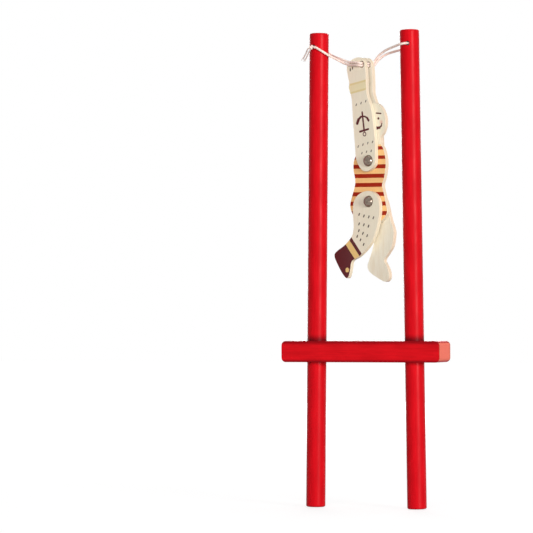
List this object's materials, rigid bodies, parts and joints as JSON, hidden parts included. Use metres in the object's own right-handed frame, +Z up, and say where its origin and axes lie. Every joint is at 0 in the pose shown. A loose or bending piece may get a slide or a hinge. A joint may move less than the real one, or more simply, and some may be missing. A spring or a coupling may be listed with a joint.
{
  "type": "squeeze frame acrobat toy",
  "caption": "Wooden toy: a jointed flat acrobat hangs by its hands on a string between two round handles, and flips over when the handles below the crossbar are squeezed.",
  "frame": {"origin": "centre of the crossbar's underside, midway between the two handles", "axes": "+Z up along the handles towards the string, +X to the right seen from the printed side, +Y towards the back of the toy"},
  "size_m": [0.095, 0.019, 0.27],
  "materials": {
    "red_handle": "glossy red paint",
    "red_bar": "red paint, thinner on the end grain",
    "printed_ply": "printed birch plywood",
    "body_ply": "printed birch plywood with stripes",
    "bare_ply": "bare birch plywood",
    "rivet_metal": "bright nickel plate",
    "nail_steel": "bright wire",
    "cotton": "twisted cotton, unbleached"
  },
  "bodies": {
    "crossbar": {"crossbar": "red_bar", "left_nail": "nail_steel", "right_nail": "nail_steel"},
    "left_handle": {"left_handle": "red_handle", "knot": "cotton", "knot_tails": "cotton"},
    "right_handle": {"right_handle": "red_handle"},
    "left_strands": {"string_left_front": "cotton", "string_left_rear": "cotton"},
    "right_strands": {"string_right_front": "cotton", "string_right_rear": "cotton"},
    "hand_string": {"string_hands": "cotton"},
    "arms": {"front_arm": "printed_ply", "back_arm": "printed_ply", "shoulder_rivet": "rivet_metal", "shoulder_washer": "rivet_metal"},
    "trunk": {"body": "body_ply", "hip_rivet": "rivet_metal", "hip_washer": "rivet_metal"},
    "front_leg": {"front_leg": "printed_ply"},
    "back_leg": {"back_leg": "bare_ply"}
  },
  "joints": [
    {"name": "left_squeeze", "type": "hinge", "parent": "crossbar", "child": "left_handle", "pos_m": [-0.0295, 0, 0.006], "axis": [0, -1, 0], "range_deg": [0, 0.6], "deforming": ["string_left_front", "string_left_rear", "string_hands", "string_right_front", "string_right_rear"]},
    {"name": "right_squeeze", "type": "hinge", "parent": "crossbar", "child": "right_handle", "pos_m": [0.0295, 0, 0.006], "axis": [0, 1, 0], "range_deg": [0, 0.6]},
    {"name": "acrobat_lift", "type": "slide", "parent": "crossbar", "child": "hand_string", "axis": [0, 0, 1], "range_m": [0, 0.006]},
    {"name": "left_strand_swing", "type": "hinge", "parent": "left_handle", "child": "left_strands", "pos_m": [-0.02738, 0, 0.17949], "axis": [0, -1, 0], "range_deg": [0, 12]},
    {"name": "right_strand_swing", "type": "hinge", "parent": "right_handle", "child": "right_strands", "pos_m": [0.02738, 0, 0.17949], "axis": [0, 1, 0], "range_deg": [0, 12]},
    {"name": "flip", "type": "hinge", "parent": "hand_string", "child": "arms", "pos_m": [0.0016, -0.0005, 0.16859], "axis": [1, 0, 0], "continuous": true, "deforming": ["string_left_front", "string_left_rear", "string_hands", "string_right_front", "string_right_rear"]},
    {"name": "shoulder_swing", "type": "hinge", "parent": "arms", "child": "trunk", "pos_m": [0.00604, -0.0023, 0.1138], "axis": [-0.3746, -0.9272, 0], "range_deg": [-90, 90]},
    {"name": "front_leg_swing", "type": "hinge", "parent": "trunk", "child": "front_leg", "pos_m": [0.00604, -0.0023, 0.0908], "axis": [0.3746, 0.9272, 0], "range_deg": [-110, 110]},
    {"name": "back_leg_swing", "type": "hinge", "parent": "trunk", "child": "back_leg", "pos_m": [0.00604, -0.0023, 0.0908], "axis": [0.3746, 0.9272, 0], "range_deg": [-110, 110]}
  ],
  "couplings": [
    {"joint": "right_squeeze", "follows": "left_squeeze", "ratio": 1},
    {"joint": "acrobat_lift", "follows": "left_squeeze", "m_per_rad": 0.55},
    {"joint": "left_strand_swing", "follows": "left_squeeze", "ratio": 19},
    {"joint": "right_strand_swing", "follows": "left_squeeze", "ratio": 19}
  ]
}
